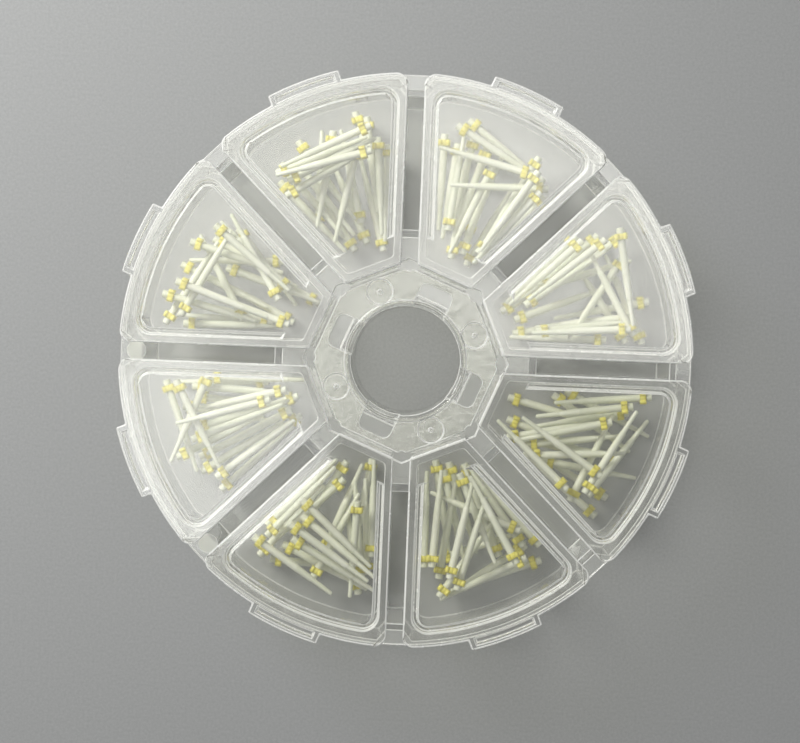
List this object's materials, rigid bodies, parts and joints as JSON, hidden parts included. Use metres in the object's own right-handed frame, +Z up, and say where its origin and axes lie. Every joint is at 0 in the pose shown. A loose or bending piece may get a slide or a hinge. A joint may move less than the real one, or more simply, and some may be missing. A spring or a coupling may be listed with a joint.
{
  "type": "round dental post dispenser case",
  "caption": "Round clear dispenser case with wedge wells, a flip lid on each, an open hub, and loose fibre root-canal posts with cross collars.",
  "frame": {"origin": "centre of the underside, on the axis of the hub's hole", "axes": "+Z up through the lids, along the hub's hole; +X and +Y along gaps between two wells"},
  "size_m": [0.1048, 0.1048, 0.024],
  "materials": {
    "tray_plastic": "hazy moulded polypropylene",
    "ring_plastic": "hazy moulded polypropylene",
    "lid_plastic": "clear moulded polypropylene",
    "post_fibre": "ground glass-fibre composite",
    "collar_plastic": "moulded yellow plastic"
  },
  "bodies": {
    "root": {"base_tray": "tray_plastic", "hinge_ring": "ring_plastic", "living_hinge_1": "ring_plastic", "living_hinge_2": "ring_plastic", "living_hinge_3": "ring_plastic", "living_hinge_4": "ring_plastic", "living_hinge_5": "ring_plastic", "living_hinge_6": "ring_plastic", "living_hinge_7": "ring_plastic", "living_hinge_8": "ring_plastic", "posts_1": "post_fibre", "posts_2": "post_fibre", "posts_3": "post_fibre", "posts_4": "post_fibre", "posts_5": "post_fibre", "posts_6": "post_fibre", "posts_7": "post_fibre", "posts_8": "post_fibre", "collars_1": "collar_plastic", "collars_2": "collar_plastic", "collars_3": "collar_plastic", "collars_4": "collar_plastic", "collars_5": "collar_plastic", "collars_6": "collar_plastic", "collars_7": "collar_plastic", "collars_8": "collar_plastic"},
    "lid_1": {"lid_1": "lid_plastic"},
    "lid_2": {"lid_2": "lid_plastic"},
    "lid_3": {"lid_3": "lid_plastic"},
    "lid_4": {"lid_4": "lid_plastic"},
    "lid_5": {"lid_5": "lid_plastic"},
    "lid_6": {"lid_6": "lid_plastic"},
    "lid_7": {"lid_7": "lid_plastic"},
    "lid_8": {"lid_8": "lid_plastic"}
  },
  "joints": [
    {"name": "lid_1_flip", "type": "hinge", "parent": "root", "child": "lid_1", "pos_m": [0.01511, 0.00626, 0.0234], "axis": [0.3827, -0.9239, 0], "range_deg": [0, 80], "deforming": ["living_hinge_1"]},
    {"name": "lid_2_flip", "type": "hinge", "parent": "root", "child": "lid_2", "pos_m": [0.00626, 0.01511, 0.0234], "axis": [-0.9239, 0.3827, 0], "range_deg": [-80, 0], "deforming": ["living_hinge_2"]},
    {"name": "lid_3_flip", "type": "hinge", "parent": "root", "child": "lid_3", "pos_m": [-0.00626, 0.01511, 0.0234], "axis": [0.9239, 0.3827, 0], "range_deg": [0, 80], "deforming": ["living_hinge_3"]},
    {"name": "lid_4_flip", "type": "hinge", "parent": "root", "child": "lid_4", "pos_m": [-0.01511, 0.00626, 0.0234], "axis": [-0.3827, -0.9239, 0], "range_deg": [-80, 0], "deforming": ["living_hinge_4"]},
    {"name": "lid_5_flip", "type": "hinge", "parent": "root", "child": "lid_5", "pos_m": [-0.01511, -0.00626, 0.0234], "axis": [-0.3827, 0.9239, 0], "range_deg": [0, 80], "deforming": ["living_hinge_5"]},
    {"name": "lid_6_flip", "type": "hinge", "parent": "root", "child": "lid_6", "pos_m": [-0.00626, -0.01511, 0.0234], "axis": [0.9239, -0.3827, 0], "range_deg": [-80, 0], "deforming": ["living_hinge_6"]},
    {"name": "lid_7_flip", "type": "hinge", "parent": "root", "child": "lid_7", "pos_m": [0.00626, -0.01511, 0.0234], "axis": [-0.9239, -0.3827, 0], "range_deg": [0, 80], "deforming": ["living_hinge_7"]},
    {"name": "lid_8_flip", "type": "hinge", "parent": "root", "child": "lid_8", "pos_m": [0.01511, -0.00626, 0.0234], "axis": [0.3827, 0.9239, 0], "range_deg": [-80, 0], "deforming": ["living_hinge_8"]}
  ]
}
